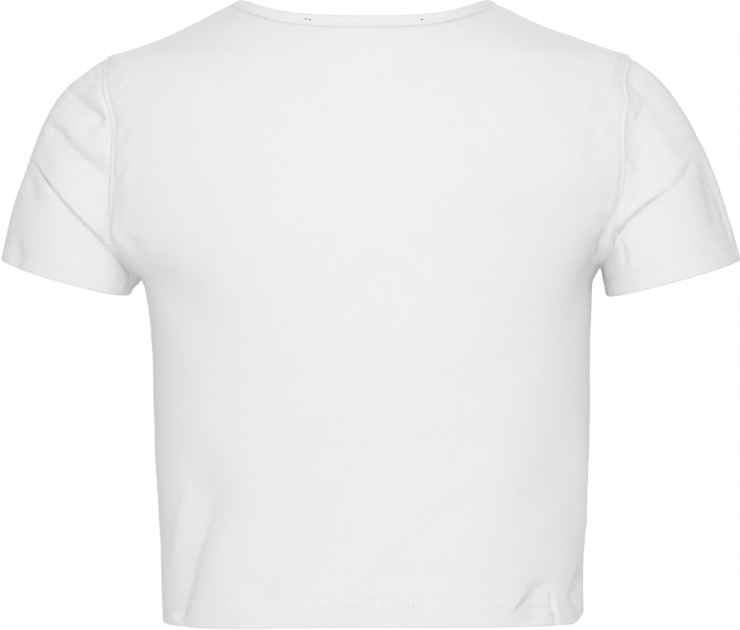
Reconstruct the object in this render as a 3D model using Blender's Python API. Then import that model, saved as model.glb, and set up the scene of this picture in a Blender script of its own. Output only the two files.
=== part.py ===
# A short-sleeved crop top in cotton jersey, filled out as worn, with nobody in it.
#
# Frame: +X is the wearer's left, -Y the front, +Z up. The origin lies midway between the two
# high shoulder points, at the top of the neckband. Sizes are in millimetres, and become metres
# where a mesh is made.
#
# It is cut as a back, a front, two set-in sleeves and a neckband. Each is a closed wall of cloth,
# and the pieces stand a seam's gap apart.

import math

import bpy
import numpy as np

MM = 0.001
RIGHT_ANGLE = math.pi / 2


def table(columns, *rows):
    """A table as a dictionary of named columns."""
    return {name: np.array(values, float) for name, values in zip(columns.split(), zip(*rows))}


# Cloth and sewing
CLOTH = 1.2             # wall of a single layer
HEM_CLOTH = 2.4         # wall where a hem is turned up
HEM_DEPTH = 15.5
HEM_STEP = 1.0          # the wall thins from hem to single layer over this height
SEAM_GAP = 0.3
BAND_WIDTH = 7.0
BAND_CLOTH = 2.2        # it is folded double over the edge
BAND_PROUD = 0.5        # it stands out from the panels by this much
BAND_ROUND = 0.75       # and is rounded off by this much
BAND_SWELL = 0.15       # it is a little fuller along its middle

# The neckband's section, from its outer foot over the fold to its inner foot
BAND_SECTION = table(
    "rise                    out",
    (0.0,                     0.0),
    (BAND_ROUND,              BAND_PROUD),
    (BAND_WIDTH / 2,          BAND_PROUD + BAND_SWELL),
    (BAND_WIDTH - BAND_ROUND, BAND_PROUD),
    (BAND_WIDTH,              BAND_PROUD - BAND_CLOTH / 2),
    (BAND_WIDTH - BAND_ROUND, BAND_PROUD - BAND_CLOTH),
    (0.0,                     BAND_PROUD - BAND_CLOTH))

# Neckline, measured on the panels' edge under the band
SHOULDER_POINT_Z = -2.6
BACK_NECK_DROP = 17.7
BACK_NECK_FLATNESS = 3.1
FRONT_NECK_DROP = 84.0

# The filled-out form. Where the armholes cut through it, its sides are the shoulders' round.
SIDES = table(
    "z        left   right",
    (6.0,     74.0,   68.0),
    (0.0,     87.0,   80.5),
    (-5.0,    98.6,   91.0),
    (-12.3,  112.0,  106.0),
    (-18.2,  125.0,  120.8),
    (-24.2,  138.3,  138.6),
    (-29.5,  151.8,  152.0),
    (-34.3,  165.6,  166.7),
    (-37.5,  174.0,  174.5),
    (-45.0,  183.5,  181.0),
    (-55.0,  188.5,  184.7),
    (-70.0,  194.0,  191.0),
    (-100.0, 196.4,  190.0),
    (-120.0, 193.0,  184.3),
    (-140.0, 187.5,  173.0),
    (-155.0, 180.0,  165.0),
    (-165.0, 171.5,  159.5),
    (-175.0, 160.5,  153.0),
    (-187.0, 150.5,  148.0),
    (-200.0, 148.0,  147.0),
    (-220.0, 145.6,  146.3),
    (-260.0, 143.7,  145.7),
    (-300.0, 142.7,  144.7),
    (-340.0, 140.2,  142.8),
    (-380.0, 138.5,  141.1),
    (-415.0, 137.6,  141.4))
DEPTHS = table(
    "z       back   front  squareness",
    (6.0,    53.0,   36.0,  2.0),
    (-20.0,  62.0,   47.0,  2.0),
    (-60.0,  78.0,   66.0,  2.05),
    (-100.0, 89.0,   86.0,  2.1),
    (-130.0, 94.5,   98.0,  2.15),
    (-160.0, 96.0,  108.0,  2.2),
    (-215.0, 93.0,  117.0,  2.3),
    (-260.0, 90.0,  116.0,  2.35),
    (-330.0, 88.0,  112.0,  2.4),
    (-415.0, 89.0,  109.0,  2.5))

# Hem height across a panel, from the right side (-1) to the left side (1)
HEMLINE = table(
    "place    z",
    (-1.0, -405.2),
    (-0.75, -409.4),
    (0.0,  -407.6),
    (0.6,  -410.0),
    (1.0,  -409.6))

# Armholes: heights of shoulder tip and armpit, and how far they reach back and forward
ARMHOLES = {
    "left": {"tip": -36.8, "pit": -186.5, 1: 48.0, -1: 55.0},
    "right": {"tip": -34.2, "pit": -180.0, 1: 48.0, -1: 55.0}}
SIGN = {"left": 1, "right": -1}

# Sleeves: the hem ring's centre, half width and half depth, its tilt as the outer side stands
# higher, and its pitch as the back stands lower
CUFFS = {
    "left": {"centre": (202.0, -6.0, -182.3), "half_width": 44.9, "half_depth": 52.0,
             "tilt": 15.3, "pitch": 5.2},
    "right": {"centre": (-202.6, -6.0, -183.6), "half_width": 45.6, "half_depth": 52.0,
              "tilt": 15.4, "pitch": 3.0}}
# How the cloth leaves the armhole and comes to the cuff, round from the shoulder tip (0) by the
# back (90) and the armpit (180): the share of the panel's own direction, and both lengths
RUNS = {
    "left": table(
        "angle   share  leave  arrive",
        (0.0,    1.00,  38.0, 104.0),
        (45.0,   0.85,  36.0,  80.0),
        (90.0,   0.50,  26.0,  48.0),
        (135.0,  0.18,  14.0,  26.0),
        (180.0,  0.00,   4.0,   5.0),
        (225.0,  0.18,  14.0,  26.0),
        (270.0,  0.50,  26.0,  48.0),
        (315.0,  0.85,  36.0,  80.0),
        (360.0,  1.00,  38.0, 104.0)),
    "right": table(
        "angle   share  leave  arrive",
        (0.0,    1.00,  36.0,  83.0),
        (45.0,   0.85,  33.0,  64.0),
        (90.0,   0.50,  26.0,  46.0),
        (135.0,  0.18,  14.0,  26.0),
        (180.0,  0.00,   5.0,   7.0),
        (225.0,  0.18,  14.0,  26.0),
        (270.0,  0.50,  26.0,  46.0),
        (315.0,  0.85,  33.0,  64.0),
        (360.0,  1.00,  36.0,  83.0))}

# Main creases, as seen square to the back or the front: three points of each, its half width and
# depth, and how far the cloth above it rolls out
CREASES = {
    "back_panel": table(
        "x1      z1      x2      z2      x3      z3     half_width depth roll",
        (123.0, -410.0, 112.0, -375.0,  95.0, -335.0,  6.0,  2.4,  0.4),
        (130.0, -400.0, 128.0, -362.0, 127.0, -322.0,  4.0,  1.2,  0.3),
        (73.0,  -400.0,  58.0, -368.0,  42.0, -335.0,  9.0,  1.0,  0.0),
        (-126.0, -410.0, -123.0, -398.0, -120.0, -386.0, 3.5, 1.2, 0.3),
        (-134.0, -384.0, -129.0, -378.0, -127.0, -370.0, 5.0, 1.2, 0.0),
        (132.0, -196.0, 118.0, -178.0, 100.0, -166.0, 13.0, 1.6, 0.0),
        (-136.0, -190.0, -122.0, -172.0, -104.0, -160.0, 13.0, 1.6, 0.0)),
    "front_panel": table(
        "x1      z1      x2      z2      x3      z3     half_width depth roll",
        (-118.0, -409.0, -106.0, -372.0, -90.0, -334.0, 6.0, 2.2, 0.4),
        (64.0,  -400.0,  52.0, -366.0,  40.0, -330.0,  9.0,  1.2,  0.0),
        (128.0, -404.0, 125.0, -384.0, 121.0, -362.0,  4.0,  1.4,  0.3),
        (134.0, -198.0, 116.0, -182.0,  94.0, -172.0, 12.0,  2.0,  0.4),
        (-134.0, -196.0, -114.0, -180.0, -92.0, -170.0, 12.0, 2.0, 0.4)),
    "sleeve_left": table(
        "x1      z1      x2      z2      x3      z3     half_width depth roll",
        (226.0, -104.0, 196.0, -143.0, 158.0, -178.0,  3.6,  3.4,  1.6),
        (208.0, -84.0,  191.0, -101.0, 176.0, -114.0,  3.2,  1.3,  0.5),
        (199.0, -60.0,  187.0, -68.0,  176.0, -75.0,   2.6,  0.9,  0.3)),
    "sleeve_right": table(
        "x1      z1      x2      z2      x3      z3     half_width depth roll",
        (-213.0, -112.0, -180.0, -141.0, -156.0, -168.0, 3.2, 2.4, 1.0),
        (-229.0, -122.0, -225.0, -140.0, -223.0, -164.0, 4.5, 2.2, 0.0),
        (-173.0, -150.0, -167.0, -163.0, -159.0, -173.0, 2.6, 0.9, 0.2))}

# How a crease is shaped: it starts and ends at this share of its full depth's sine, and its roll
# stands this many half widths away, this many wide
CREASE_SAMPLES = 13
CREASE_END = 0.06
CREASE_FULLNESS = 0.7
ROLL_PLACE = 1.6
ROLL_WIDTH = 1.2
SEAM_FADE_ROWS = 2.5    # creases die out over this many rows towards a seam

# Grid of the walls
PANEL_COLUMNS = 34
HEM_RISES = (0.0, HEM_DEPTH / 2, HEM_DEPTH)
BODY_ROWS = 11
ARMHOLE_ROWS = 14
SHOULDER_ROWS = 7
SLEEVE_ROWS = 12
PIT_ROW = len(HEM_RISES) + BODY_ROWS
ARMHOLE_SPAN = slice(PIT_ROW, PIT_ROW + ARMHOLE_ROWS + 1)
YOKE_GATHER = 1.5       # how late a panel's rows bend to follow the neck
YOKE_DIPS = {1: 30.0, -1: 80.0}     # how far the row between the shoulder tips hangs, back and front
DIP_STEEPNESS = 4       # it leaves the tips level, clear of the armholes
NECK_SAMPLES = 601      # fine points from which the neckline's even ones are read
RUN_SAMPLES = 81        # fine points along each run of a sleeve
LITTLE = 0.002          # step for slopes
SHARP_EDGE = math.radians(50)

COLOURS = {
    "back_panel": (0.86, 0.86, 0.86, 1.0),
    "front_panel": (0.84, 0.84, 0.84, 1.0),
    "sleeve_left": (0.82, 0.82, 0.82, 1.0),
    "sleeve_right": (0.82, 0.82, 0.82, 1.0),
    "neck_band": (0.88, 0.88, 0.88, 1.0)}
CLOTH_ROUGHNESS = 0.9
COLLECTION = "crop_top"


def curve_through(knots, values, places):
    """A smooth curve through the knots that never overshoots between two of them."""
    order = np.argsort(knots)
    knots, values = knots[order], values[order]
    steps = np.diff(knots)
    slopes = np.diff(values) / steps
    before, after = slopes[:-1], slopes[1:]
    same_way = before * after > 0
    total = np.where(same_way, before + after, 1.0)
    inner = np.where(same_way, 2 * before * after / total, 0.0)
    tangents = np.concatenate(([slopes[0]], inner, [slopes[-1]]))
    places = np.clip(places, knots[0], knots[-1])
    i = np.clip(np.searchsorted(knots, places, "right") - 1, 0, len(steps) - 1)
    t = (places - knots[i]) / steps[i]
    rise = values[i + 1] - values[i]
    return (values[i] + rise * t * t * (3 - 2 * t)
            + tangents[i] * steps[i] * t * (1 - t) ** 2
            - tangents[i + 1] * steps[i] * t * t * (1 - t))


def follow(rows, column, places, by="z"):
    """One column of a table at the given places."""
    return curve_through(rows[by], rows[column], places)


def unit(vectors):
    """The same directions, one long."""
    return vectors / np.linalg.norm(vectors, axis=-1, keepdims=True)


def smoothstep(value, low, high):
    """0 below low, 1 above high, and an even turn between."""
    t = np.clip((value - low) / (high - low), 0, 1)
    return t * t * (3 - 2 * t)


def signed_power(value, power):
    """A power that keeps the sign."""
    return np.sign(value) * np.abs(value) ** power


def widths(z):
    """Half width of the form at a height, and how far its middle leans to the left."""
    left, right = follow(SIDES, "left", z), follow(SIDES, "right", z)
    return (left + right) / 2, (left - right) / 2


def depth(z, side):
    """How far the form reaches back (side 1) or forward (side -1) at a height."""
    return follow(DEPTHS, "back" if side > 0 else "front", z)


def form(angle, z, side):
    """Points of the form: half a superellipse at each height, from side to side."""
    half_width, lean = widths(z)
    power = 2 / follow(DEPTHS, "squareness", z)
    x = lean + half_width * signed_power(np.sin(angle), power)
    y = side * depth(z, side) * signed_power(np.cos(angle), power)
    return np.stack([x, y, z], axis=-1)


def form_normal(angle, z, side):
    """Outward directions on the form."""
    across = form(angle + LITTLE, z, side) - form(angle - LITTLE, z, side)
    up = form(angle, z + LITTLE, side) - form(angle, z - LITTLE, side)
    return side * unit(np.cross(up, across))


def angle_at_depth(y, z, side):
    """The form's angle where it is y deep, from 90 degrees at its side."""
    share = np.abs(y) / depth(z, side)
    return np.arccos(np.clip(share ** (follow(DEPTHS, "squareness", z) / 2), 0, 1))


def angle_at_width(x, z):
    """The form's angle where it is x wide."""
    half_width, lean = widths(z)
    share = np.clip((x - lean) / half_width, -1, 1)
    return np.arcsin(signed_power(share, follow(DEPTHS, "squareness", z) / 2))


def armhole_edge(name, turn, side):
    """Height and form angle of an armhole, turning from shoulder tip (0) to armpit (pi)."""
    hole = ARMHOLES[name]
    middle, half_height = (hole["tip"] + hole["pit"]) / 2, (hole["tip"] - hole["pit"]) / 2
    z = middle + half_height * np.cos(turn)
    return z, angle_at_depth(hole[side] * np.sin(turn), z, side)


def neckline(side):
    """The neckline from right to left as fine points: form angle, height and share of its length."""
    left, right = follow(SIDES, "left", SHOULDER_POINT_Z), follow(SIDES, "right", SHOULDER_POINT_Z)
    turn = np.linspace(-RIGHT_ANGLE, RIGHT_ANGLE, NECK_SAMPLES)
    x = (left - right) / 2 + np.sin(turn) * (left + right) / 2
    if side > 0:
        reach = np.abs(np.sin(turn))
        z = SHOULDER_POINT_Z - BACK_NECK_DROP * (1 - reach ** BACK_NECK_FLATNESS)
    else:
        z = SHOULDER_POINT_Z - FRONT_NECK_DROP * np.cos(turn)
    angle = angle_at_width(x, z)
    steps = np.linalg.norm(np.diff(form(angle, z, side), axis=0), axis=-1)
    length = np.concatenate([[0], np.cumsum(steps)])
    return angle, z, length / length[-1]


def panel_surface(side):
    """Outer points, outward directions and wall of a panel, from hem to neck, right to left."""
    place = np.linspace(-1, 1, PANEL_COLUMNS + 1)

    def across(key, places):
        left, right = ARMHOLES["left"][key], ARMHOLES["right"][key]
        return (left + right) / 2 + places * (left - right) / 2

    # Rows that end on the side seams
    hem = curve_through(HEMLINE["place"], HEMLINE["z"], place)
    above_hem = hem + HEM_DEPTH + HEM_STEP
    shares = np.linspace(0, 1, BODY_ROWS + 1)[:, None]
    body = above_hem + shares * (across("pit", place) - above_hem)
    flank = np.concatenate([[hem + rise for rise in HEM_RISES], body])
    flank_angle = np.tile(place * RIGHT_ANGLE, (len(flank), 1))

    # Rows that end on the armholes
    turn = np.linspace(math.pi, 0, ARMHOLE_ROWS + 1)[1:, None]
    left_z, left_angle = armhole_edge("left", turn, side)
    right_z, right_angle = armhole_edge("right", turn, side)
    left_share, right_share = (1 + place) / 2, (1 - place) / 2
    gather = ((1 + np.cos(turn)) / 2) ** YOKE_GATHER
    dip = YOKE_DIPS[side] * np.cos(place * RIGHT_ANGLE) ** DIP_STEEPNESS
    yoke = left_share * left_z + right_share * right_z - gather * dip
    yoke_angle = place * (left_share * left_angle + right_share * right_angle)

    # Rows that end on the shoulder seams, the last one the neckline
    shares = np.linspace(0, 1, SHOULDER_ROWS + 1)[1:, None]
    neck_angle, neck_z, neck_length = neckline(side)
    even_angle = np.interp((place + 1) / 2, neck_length, neck_angle)
    shoulder_angle = (1 - shares) * place * RIGHT_ANGLE + shares * even_angle
    dip = YOKE_DIPS[side] * np.cos(shoulder_angle) ** DIP_STEEPNESS
    tip_row = across("tip", shoulder_angle / RIGHT_ANGLE) - dip
    shoulder = tip_row + shares * (np.interp(shoulder_angle, neck_angle, neck_z) - tip_row)

    z = np.concatenate([flank, yoke, shoulder])
    angle = np.concatenate([flank_angle, yoke_angle, shoulder_angle])
    points = form(angle, z, side)
    points[..., 1] += side * SEAM_GAP / 2
    wall = np.full(z.shape, CLOTH)
    wall[:len(HEM_RISES)] = HEM_CLOTH
    return points, form_normal(angle, z, side), wall


def lift(points, x, z, side):
    """The places of the surface that lie at the given x and z, on its back or front."""
    flat = points.reshape(-1, 3)
    flat = flat[flat[:, 1] * side >= np.percentile(flat[:, 1] * side, 40)]
    apart = (flat[None, :, 0] - x[:, None]) ** 2 + (flat[None, :, 2] - z[:, None]) ** 2
    return flat[np.argmin(apart, axis=1)]


def crease(points, normals, rows, side, fade):
    """Press a table of creases into a surface: soft troughs, rolled out on their upper side."""
    t = np.linspace(0, 1, CREASE_SAMPLES)
    pressed = points.copy()
    for i in range(len(rows["x1"])):
        row = {name: column[i] for name, column in rows.items()}
        bends = [(1 - t) ** 2, 2 * t * (1 - t), t * t]
        middle_x = 2 * row["x2"] - (row["x1"] + row["x3"]) / 2
        middle_z = 2 * row["z2"] - (row["z1"] + row["z3"]) / 2
        x = bends[0] * row["x1"] + bends[1] * middle_x + bends[2] * row["x3"]
        z = bends[0] * row["z1"] + bends[1] * middle_z + bends[2] * row["z3"]
        path = lift(points, x, z, side)
        path[:, 0], path[:, 2] = x, z
        near = np.full(points.shape[:2], np.inf)
        along = np.zeros(points.shape[:2])
        above = np.zeros(points.shape[:2])
        for k in range(CREASE_SAMPLES - 1):
            step = path[k + 1] - path[k]
            reach = np.clip(((points - path[k]) @ step) / (step @ step), 0, 1)
            away = points - (path[k] + reach[..., None] * step)
            distance = np.linalg.norm(away, axis=-1)
            closer = distance < near
            near = np.where(closer, distance, near)
            along = np.where(closer, (k + reach) / (CREASE_SAMPLES - 1), along)
            above = np.where(closer, away[..., 2], above)
        taper = np.sin(math.pi * (CREASE_END + (1 - 2 * CREASE_END) * along)) ** CREASE_FULLNESS
        off = near / row["half_width"]
        upper = np.clip(above / row["half_width"], -1, 1)
        trough = -row["depth"] * np.exp(-off * off)
        roll = row["roll"] * upper * np.exp(-((off - ROLL_PLACE) / ROLL_WIDTH) ** 2)
        pressed += (fade * taper * (trough + roll))[..., None] * normals
    return pressed


def armhole_ring(name, back, front):
    """Turn two panels' edges into one ring: shoulder tip, down the back, armpit, up the front."""
    column = -1 if name == "left" else 0
    back_edge = back[ARMHOLE_SPAN, column][::-1]
    front_edge = front[ARMHOLE_SPAN, column][::-1]
    tip = (back_edge[0] + front_edge[0]) / 2
    pit = (back_edge[-1] + front_edge[-1]) / 2
    return np.concatenate([[tip], back_edge[1:-1], [pit], front_edge[1:-1][::-1]])


def cuff_ring(name, turns):
    """Points of a sleeve's hem and the direction in which the cloth comes down to it."""
    cuff, sign = CUFFS[name], SIGN[name]
    tilt, pitch = math.radians(cuff["tilt"]), math.radians(cuff["pitch"])
    outward = np.array([sign * math.cos(tilt), 0, math.sin(tilt)])
    backward = np.array([0, math.cos(pitch), -math.sin(pitch)])
    ring = (np.array(cuff["centre"]) + cuff["half_width"] * np.cos(turns)[:, None] * outward
            + cuff["half_depth"] * np.sin(turns)[:, None] * backward)
    down = unit(np.cross(outward, backward)) * -sign
    return ring, down


def sleeve_surface(name, ring, ring_normals):
    """Outer points, outward directions and wall of a sleeve, from its cuff up to the armhole."""
    count = len(ring)
    turns = np.linspace(0, 2 * math.pi, count, endpoint=False)
    cuff, down = cuff_ring(name, turns)
    degrees = np.degrees(turns)
    share = follow(RUNS[name], "share", degrees, by="angle")[:, None]
    leave = follow(RUNS[name], "leave", degrees, by="angle")[:, None]
    arrive = follow(RUNS[name], "arrive", degrees, by="angle")[:, None]

    along_edge = unit(np.roll(ring, -1, axis=0) - np.roll(ring, 1, axis=0))
    inward = unit(np.cross(ring_normals, along_edge))
    centre = ring.mean(axis=0)
    inward *= np.sign(np.sum(inward * (centre - ring), axis=-1, keepdims=True))
    start_way = unit(share * inward + (1 - share) * unit(cuff - ring))
    open_way = smoothstep(np.sum(inward * start_way, axis=-1, keepdims=True), -0.5, 0.5)
    start = ring + SEAM_GAP * unit(open_way * inward + (1 - open_way) * ring_normals)

    t = np.linspace(0, 1, RUN_SAMPLES)[:, None, None]
    path = ((1 - t) ** 3 * start + 3 * t * (1 - t) ** 2 * (start + leave * start_way)
            + 3 * t * t * (1 - t) * (cuff - arrive * down) + t ** 3 * cuff)
    steps = np.linalg.norm(np.diff(path, axis=0), axis=-1)
    length = np.concatenate([np.zeros((1, count)), np.cumsum(steps, axis=0)])
    total = length[-1]
    hem = np.minimum(HEM_DEPTH, total / 2)
    above = hem + HEM_STEP * hem / HEM_DEPTH
    shares = np.linspace(0, 1, SLEEVE_ROWS + 1)[:, None]
    stations = np.concatenate([[total, total - hem / 2, total - hem], (1 - shares) * (total - above)])
    points = np.empty(stations.shape + (3,))
    for k in range(count):
        for axis in range(3):
            points[:, k, axis] = np.interp(stations[:, k], length[:, k], path[:, k, axis])
    up = np.gradient(points, axis=0)
    around = np.roll(points, -1, axis=1) - np.roll(points, 1, axis=1)
    normals = unit(np.cross(around, up))
    middle = points.mean(axis=1, keepdims=True)
    normals *= np.sign(np.sum(normals * (points - middle)))
    wall = np.full(stations.shape, CLOTH)
    wall[:3] = HEM_CLOTH
    return points, normals, wall


def mitre(panel_normals, sleeve_normals):
    """Wall directions at a seam, so that two walls meet at it without running into each other."""
    dots = np.sum(panel_normals * sleeve_normals, axis=-1, keepdims=True)
    shared = (panel_normals + sleeve_normals) / np.maximum(1 + dots, 0.5)
    mix = smoothstep(dots, -0.2, 0.5)
    return mix * shared + (1 - mix) * panel_normals, mix * shared + (1 - mix) * sleeve_normals


def band_rings(back, back_normals, front, front_normals):
    """Closed sections of the neckband, stood along the two panels' necklines."""
    def ring(back_grid, front_grid):
        back_edge, front_edge = back_grid[-1], front_grid[-1]
        right, left = (back_edge[0] + front_edge[0]) / 2, (back_edge[-1] + front_edge[-1]) / 2
        return np.concatenate([[right], back_edge[1:-1], [left], front_edge[1:-1][::-1]])

    edge = ring(back, front)
    out = unit(ring(back_normals, front_normals))
    along = unit(np.roll(edge, -1, axis=0) - np.roll(edge, 1, axis=0))
    up = unit(np.cross(along, out))
    up *= np.sign(up[len(up) // 4, 2])
    return np.array([edge + (SEAM_GAP + rise) * up + stand * out
                     for rise, stand in zip(BAND_SECTION["rise"], BAND_SECTION["out"])])


def quads_of(index):
    """Faces between neighbouring rows and columns of a grid of vertex numbers."""
    corners = [index[:-1, :-1], index[:-1, 1:], index[1:, 1:], index[1:, :-1]]
    return np.stack(corners, axis=-1).reshape(-1, 4)


def halved(quads, heights):
    """Cut four-sided faces from the higher corner of their first side to the lower one opposite.
    Rims that face each other over a seam then twist alike, and keep their gap."""
    a, b, c, d = quads.T
    from_a = np.stack([a, b, c, a, c, d], axis=-1)
    from_b = np.stack([a, b, d, b, c, d], axis=-1)
    return np.where((heights[a] > heights[b])[:, None], from_a, from_b).reshape(-1, 3)


def rim_of(loop, count, heights):
    """Faces that close a wall along a row of its outer vertices."""
    quads = np.stack([loop[1:], loop[:-1], loop[:-1] + count, loop[1:] + count], axis=-1)
    return halved(quads, heights)


def wall_mesh(outer, inner, ringed):
    """Vertices and faces of a wall between two grids, open or closed into a ring of columns."""
    rows, columns = outer.shape[:2]
    count = rows * columns
    index = np.arange(count).reshape(rows, columns)
    if ringed:
        index = np.hstack([index, index[:, :1]])
        loops = [index[0], index[-1][::-1]]
    else:
        loops = [np.concatenate([index[0], index[1:, -1], index[-1, -2::-1], index[-2::-1, 0]])]
    vertices = np.concatenate([outer.reshape(-1, 3), inner.reshape(-1, 3)])
    quads = quads_of(index)
    rims = np.concatenate([rim_of(loop, count, vertices[:, 2]) for loop in loops])
    return vertices, quads.tolist() + (quads[:, ::-1] + count).tolist() + rims.tolist()


def add_object(name, vertices, faces, collection):
    """One named object with its own cloth material."""
    mesh = bpy.data.meshes.new(name)
    mesh.from_pydata((vertices * MM).tolist(), [], faces)
    mesh.validate()
    mesh.shade_smooth()
    mesh.set_sharp_from_angle(angle=SHARP_EDGE)
    material = bpy.data.materials.new(name + "_jersey")
    material.use_nodes = True
    shader = material.node_tree.nodes["Principled BSDF"]
    shader.inputs["Base Color"].default_value = COLOURS[name]
    shader.inputs["Roughness"].default_value = CLOTH_ROUGHNESS
    shader.inputs["Metallic"].default_value = 0.0
    mesh.materials.append(material)
    thing = bpy.data.objects.new(name, mesh)
    collection.objects.link(thing)
    return thing


def faces_out(outer, normals):
    """Whether a grid's own order turns its faces outwards."""
    across = outer[0, 1] - outer[0, 0]
    up = outer[1, 0] - outer[0, 0]
    return np.dot(np.cross(across, up), normals[0, 0]) > 0


def build_wall(name, outer, normals, directions, wall, ringed, collection):
    """Give a surface its thickness and make it an object."""
    inner = outer - wall[..., None] * directions
    if not faces_out(outer, normals):
        outer, inner = outer[:, ::-1], inner[:, ::-1]
    vertices, faces = wall_mesh(outer, inner, ringed)
    add_object(name, vertices, faces, collection)


def build_band(rings, collection):
    """Close the neckband's sections, which run out, over and in, into one tube."""
    sections, count = rings.shape[:2]
    index = np.arange(sections * count).reshape(sections, count)
    index = np.hstack([index, index[:, :1]])[:, ::-1]
    vertices = rings.reshape(-1, 3)
    outside, inside = index[0], index[-1]
    foot = np.stack([outside[1:], outside[:-1], inside[:-1], inside[1:]], axis=-1)
    faces = quads_of(index).tolist() + halved(foot, vertices[:, 2]).tolist()
    add_object("neck_band", vertices, faces, collection)


def seam_fade(shape, ringed):
    """0 at a surface's sewn edges and 1 inside, so that creases die out at the seams."""
    rows, columns = shape
    from_top = smoothstep(np.arange(rows)[::-1], 0, SEAM_FADE_ROWS)[:, None]
    if ringed:
        return from_top * np.ones((1, columns))
    edge = np.minimum(np.arange(columns), np.arange(columns)[::-1])
    return from_top * smoothstep(edge, 0, SEAM_FADE_ROWS)[None, :]


def build_crop_top(collection):
    """All five pieces."""
    back, back_normals, back_wall = panel_surface(1)
    front, front_normals, front_wall = panel_surface(-1)
    back_way, front_way = back_normals.copy(), front_normals.copy()
    for name in ("left", "right"):
        ring = armhole_ring(name, back, front)
        ring_normals = unit(armhole_ring(name, back_normals, front_normals))
        sleeve, sleeve_normals, sleeve_wall = sleeve_surface(name, ring, ring_normals)
        panel_way, sleeve_way = mitre(ring_normals, sleeve_normals[-1])
        directions = sleeve_normals.copy()
        directions[-1] = sleeve_way
        column = -1 if name == "left" else 0
        back_way[ARMHOLE_SPAN, column] = panel_way[:ARMHOLE_ROWS + 1][::-1]
        front_way[ARMHOLE_SPAN, column] = np.concatenate([panel_way[ARMHOLE_ROWS:], panel_way[:1]])
        node = "sleeve_" + name
        fade = seam_fade(sleeve.shape[:2], True)
        sleeve = crease(sleeve, sleeve_normals, CREASES[node], 1, fade)
        build_wall(node, sleeve, sleeve_normals, directions, sleeve_wall, True, collection)
    build_band(band_rings(back, back_normals, front, front_normals), collection)
    fade = seam_fade(back.shape[:2], False)
    back = crease(back, back_normals, CREASES["back_panel"], 1, fade)
    front = crease(front, front_normals, CREASES["front_panel"], -1, fade)
    build_wall("back_panel", back, back_normals, back_way, back_wall, False, collection)
    build_wall("front_panel", front, front_normals, front_way, front_wall, False, collection)


def main():
    """Start from an empty scene and build the crop top in its own collection."""
    for thing in list(bpy.data.objects):
        bpy.data.objects.remove(thing, do_unlink=True)
    collection = bpy.data.collections.new(COLLECTION)
    bpy.context.scene.collection.children.link(collection)
    build_crop_top(collection)


main()
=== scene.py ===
# A short-sleeved crop top in white cotton jersey, filled out as worn, with nobody in it.
# +X is the wearer's left, -Y the front, +Z up. The origin lies at the top of the neckband, midway
# between the shoulder points. Sizes are in millimetres and become metres where a mesh is made.

import math

import bpy
import numpy as np
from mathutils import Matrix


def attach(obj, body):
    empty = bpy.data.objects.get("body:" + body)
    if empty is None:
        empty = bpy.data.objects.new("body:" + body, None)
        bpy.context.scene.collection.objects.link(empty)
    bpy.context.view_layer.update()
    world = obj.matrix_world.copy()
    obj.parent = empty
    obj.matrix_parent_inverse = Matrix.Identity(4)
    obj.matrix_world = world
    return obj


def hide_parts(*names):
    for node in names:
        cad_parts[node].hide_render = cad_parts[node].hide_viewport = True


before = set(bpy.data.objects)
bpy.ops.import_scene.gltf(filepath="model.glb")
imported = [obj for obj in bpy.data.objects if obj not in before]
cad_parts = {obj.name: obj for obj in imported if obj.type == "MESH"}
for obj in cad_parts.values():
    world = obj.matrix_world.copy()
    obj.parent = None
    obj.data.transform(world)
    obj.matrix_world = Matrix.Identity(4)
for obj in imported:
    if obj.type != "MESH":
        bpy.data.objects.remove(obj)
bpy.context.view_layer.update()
print("frame loaded:", sorted(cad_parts))

mm = 0.001
rightAngle = math.pi / 2


def table(columns, *rows):  # a table as a dictionary of named columns
    return {name: np.array(values, float) for name, values in zip(columns.split(), zip(*rows))}


cloth = {
    "thickness": 0.8,       # one layer of jersey
    "hemThickness": 1.6,    # where a hem is turned up
    "hemDepth": 18.6,
    "hemStep": 1.2,         # the turned-up layer ends over this height
    "stitchRows": (12.5, 17.5),     # the hem's two rows of stitches, above its edge
    "stitchSink": 0.06,     # how far a row pulls the cloth in
    "stitchSpan": 0.8,
    "drape": ((120, 0.55), (46, 0.22), (17, 0.045)),  # wavelength and height of its unevenness
    "foldReach": 0.85,      # a hem's fold stands out by this share of half its thickness
    "rollPlace": 1.7,       # a crease's roll stands this many half widths beside it
    "little": 0.002}        # the step in angle and height over which the form's slopes are taken

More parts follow.
